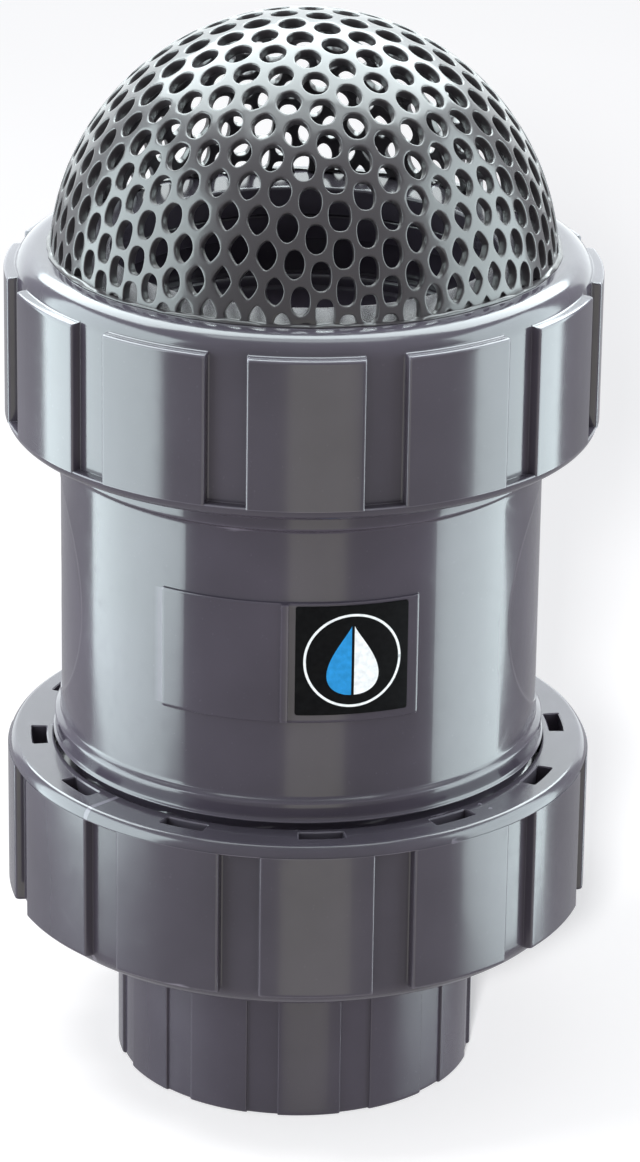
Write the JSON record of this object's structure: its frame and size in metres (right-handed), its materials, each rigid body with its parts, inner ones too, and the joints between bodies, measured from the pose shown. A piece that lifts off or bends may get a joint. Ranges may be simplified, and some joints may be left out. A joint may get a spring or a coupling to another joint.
{
  "type": "foot valve",
  "caption": "Union-type ball check foot valve with a perforated dome suction screen, ribbed union nuts and a socket end connector for plastic pipe.",
  "frame": {"origin": "centre of the end connector's pipe face", "axes": "+Z along the valve's axis from the pipe face to the screen's crown; -Y is the side with the nameplate"},
  "size_m": [0.121, 0.121, 0.225],
  "materials": {
    "pvc_grey": "glossy moulded grey PVC",
    "pvc_screen": "glossy formed grey PVC sheet",
    "pvc_ball": "turned grey PVC",
    "rubber_black": "black elastomer",
    "label_black": "printed sticker"
  },
  "bodies": {
    "end_connector": {"end_connector": "pvc_grey"},
    "outlet_nut": {"outlet_union_nut": "pvc_grey"},
    "valve_body": {"valve_body": "pvc_grey", "outlet_face_o_ring": "rubber_black", "ball_seat": "rubber_black", "seat_retainer": "pvc_grey", "retainer_o_ring": "rubber_black", "label": "label_black"},
    "check_ball": {"check_ball": "pvc_ball"},
    "clamp_ring": {"inlet_clamp_ring": "pvc_grey"},
    "inlet_nut": {"inlet_union_nut": "pvc_grey", "screen_dome": "pvc_screen"}
  },
  "joints": [
    {"name": "outlet_nut_turn", "type": "hinge", "parent": "end_connector", "child": "outlet_nut", "pos_m": [0, 0, 0.053], "axis": [0, 0, -1], "range_deg": [0, 1260]},
    {"name": "valve_body_lift", "type": "slide", "parent": "end_connector", "child": "valve_body", "axis": [0, 0, 1], "range_m": [0, 0.021]},
    {"name": "clamp_ring_lift", "type": "slide", "parent": "valve_body", "child": "clamp_ring", "axis": [0, 0, 1], "range_m": [0, 0.021]},
    {"name": "inlet_nut_turn", "type": "hinge", "parent": "clamp_ring", "child": "inlet_nut", "pos_m": [0, 0, 0.1589], "axis": [0, 0, 1], "range_deg": [0, 1260]},
    {"name": "ball_travel", "type": "slide", "parent": "valve_body", "child": "check_ball", "axis": [0, 0, 1], "range_m": [0, 0.0255]}
  ],
  "couplings": [
    {"joint": "valve_body_lift", "follows": "outlet_nut_turn", "m_per_rad": 0.0009549},
    {"joint": "clamp_ring_lift", "follows": "inlet_nut_turn", "m_per_rad": 0.0009549}
  ]
}
